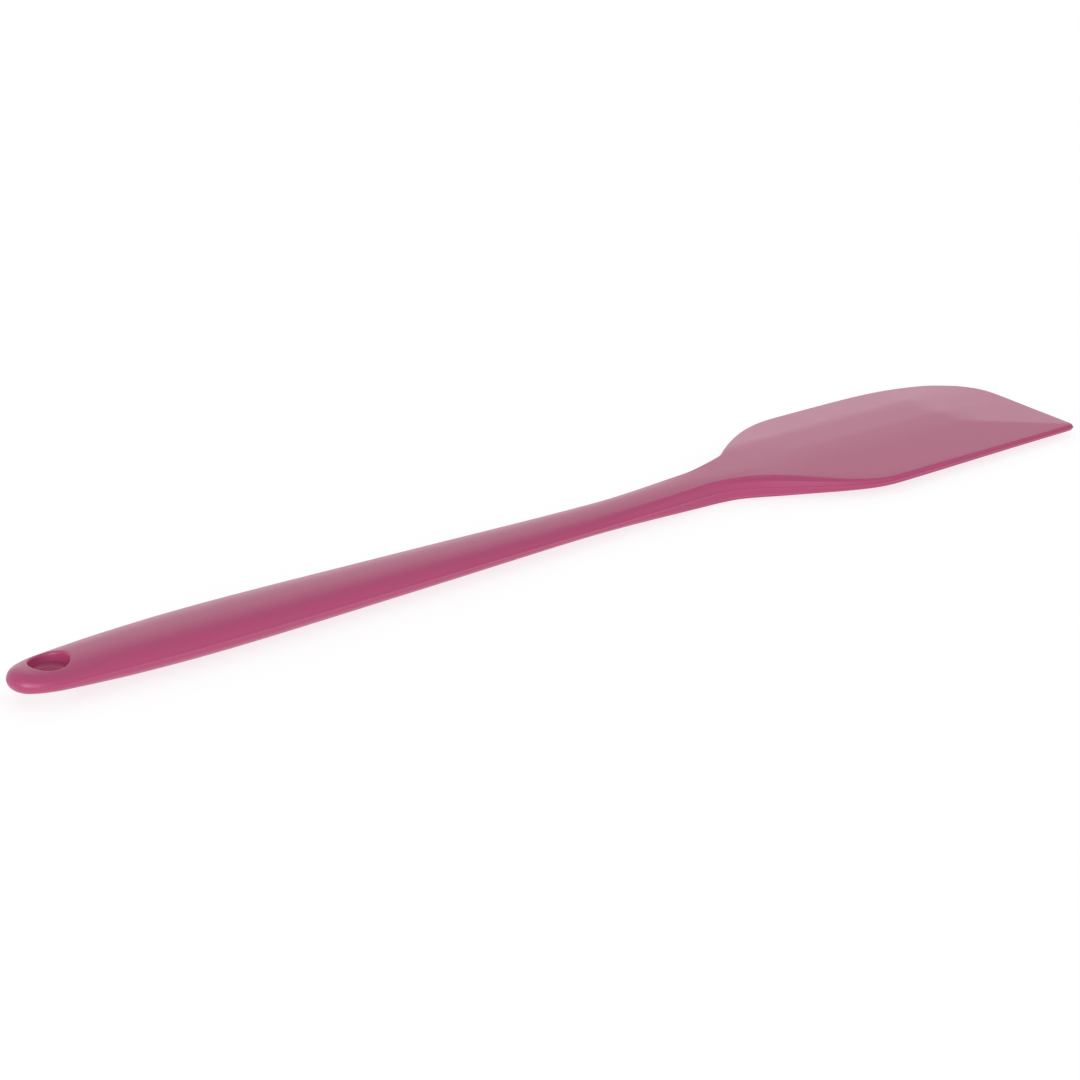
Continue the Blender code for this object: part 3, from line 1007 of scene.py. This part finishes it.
nothing_selected()
bpy.ops.mesh.primitive_plane_add(size=TABLE_SIZE)
table = bpy.context.object
table.name = "table"
acrylic = Finish("lit_white_acrylic", {
    "Roughness": 0.9,
    "Specular IOR Level": 0.1,
    "Emission Color": WHITE,
    "Emission Strength": TABLE_GLOW,
})
shade = acrylic.blend(acrylic.noise(CLOUD_SIZE), TABLE_DARK, TABLE_LIGHT)
acrylic.feed(acrylic.shader.inputs["Base Color"], shade)
table.data.materials.append(acrylic.material)
table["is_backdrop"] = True
print("table:", TABLE_SIZE, "m wide, glowing at", TABLE_GLOW)

# %% White room
ROOM_LIGHT = 0.66

scene = bpy.context.scene
scene.world = bpy.data.worlds.new("white_room")
scene.world.use_nodes = True
room = Board(scene.world.node_tree)
room.tree.nodes.clear()
camera_ray = room.node("ShaderNodeLightPath", {}, {}, "Is Camera Ray")
glossy_ray = room.node("ShaderNodeLightPath", {}, {}, "Is Glossy Ray")
seen = room.node("ShaderNodeMath", {"operation": "MAXIMUM"}, {0: camera_ray, 1: glossy_ray})
cloth = room.node("ShaderNodeBackground", {}, {"Color": WHITE, "Strength": ROOM_LIGHT})
backdrop = room.node("ShaderNodeBackground", {}, {"Color": WHITE, "Strength": 1.0})
either = room.node("ShaderNodeMixShader", {}, {0: seen, 1: cloth, 2: backdrop})
room.feed(room.tree.nodes.new("ShaderNodeOutputWorld").inputs["Surface"], either)
print("room nodes:", len(room.tree.nodes))


# %% Lamps
def soft_lamp(name, place, aim, size, power):
    """A lamp with a rectangular face, its size in metres and its power in watts."""
    lamp = bpy.data.lights.new(name, "AREA")
    lamp.shape = "RECTANGLE"
    lamp.size, lamp.size_y = size
    lamp.energy = power
    thing = bpy.data.objects.new(name, lamp)
    scene.collection.objects.link(thing)
    thing.location = place
    thing.rotation_euler = (Vector(aim) - Vector(place)).to_track_quat("-Z", "Y").to_euler()


soft_lamp("high_back_lamp", (0.9, 1.2, 1.3), (0, 0, 0), (2.0, 0.9), 3.0)
soft_lamp("low_back_lamp", (1.2, 1.6, 0.3), (0, 0, 0), (2.4, 0.5), 2.4)
soft_lamp("long_left_lamp", (-1.02, -0.84, 0.18), (-0.05, 0, 0), (1.3, 0.2), 3.8)
soft_lamp("small_left_lamp", (-1.2, -0.55, 0.16), (-0.1, 0, 0), (0.5, 0.22), 1.9)
print("lamps:", [lamp.name for lamp in bpy.data.lights])

# %% [markdown]
# ## The camera
#
# A long lens from more than a metre away keeps both ends of the spatula at nearly the same scale, as
# in the photograph. The angles, the distance and the lens were found by laying the model's outline
# over the photographed one.

# %% The camera, as the photograph was taken
CAMERA_AZIMUTH = 36.67
CAMERA_ELEVATION = 21.66
CAMERA_ROLL = -1.08
CAMERA_DISTANCE = 1.18
CAMERA_LENS = 175.85
CAMERA_SENSOR = 36
CAMERA_TARGET = Vector((-1.3 * MM, -1.0 * MM, 2.4 * MM))

lens = bpy.data.cameras.new("camera")
lens.lens = CAMERA_LENS
lens.sensor_width = CAMERA_SENSOR
camera = bpy.data.objects.new("camera", lens)
scene.collection.objects.link(camera)
facing = (
    Matrix.Rotation(math.radians(-CAMERA_AZIMUTH), 4, "Z")
    @ Matrix.Rotation(math.radians(90 - CAMERA_ELEVATION), 4, "X")
    @ Matrix.Rotation(math.radians(CAMERA_ROLL), 4, "Z")
)
stand_back = Matrix.Translation((0, 0, CAMERA_DISTANCE))
camera.matrix_world = Matrix.Translation(CAMERA_TARGET) @ facing @ stand_back
scene.camera = camera
scene.view_settings.view_transform = "Standard"
print("camera stands at, m:", [round(v, 3) for v in camera.matrix_world.translation])

# %% Sizes
drawn_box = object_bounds()
corners = [corner for box in (solid_box, drawn_box) for corner in box]
print("boxes, mm:", [[round(v / MM, 2) for v in corner] for corner in corners])
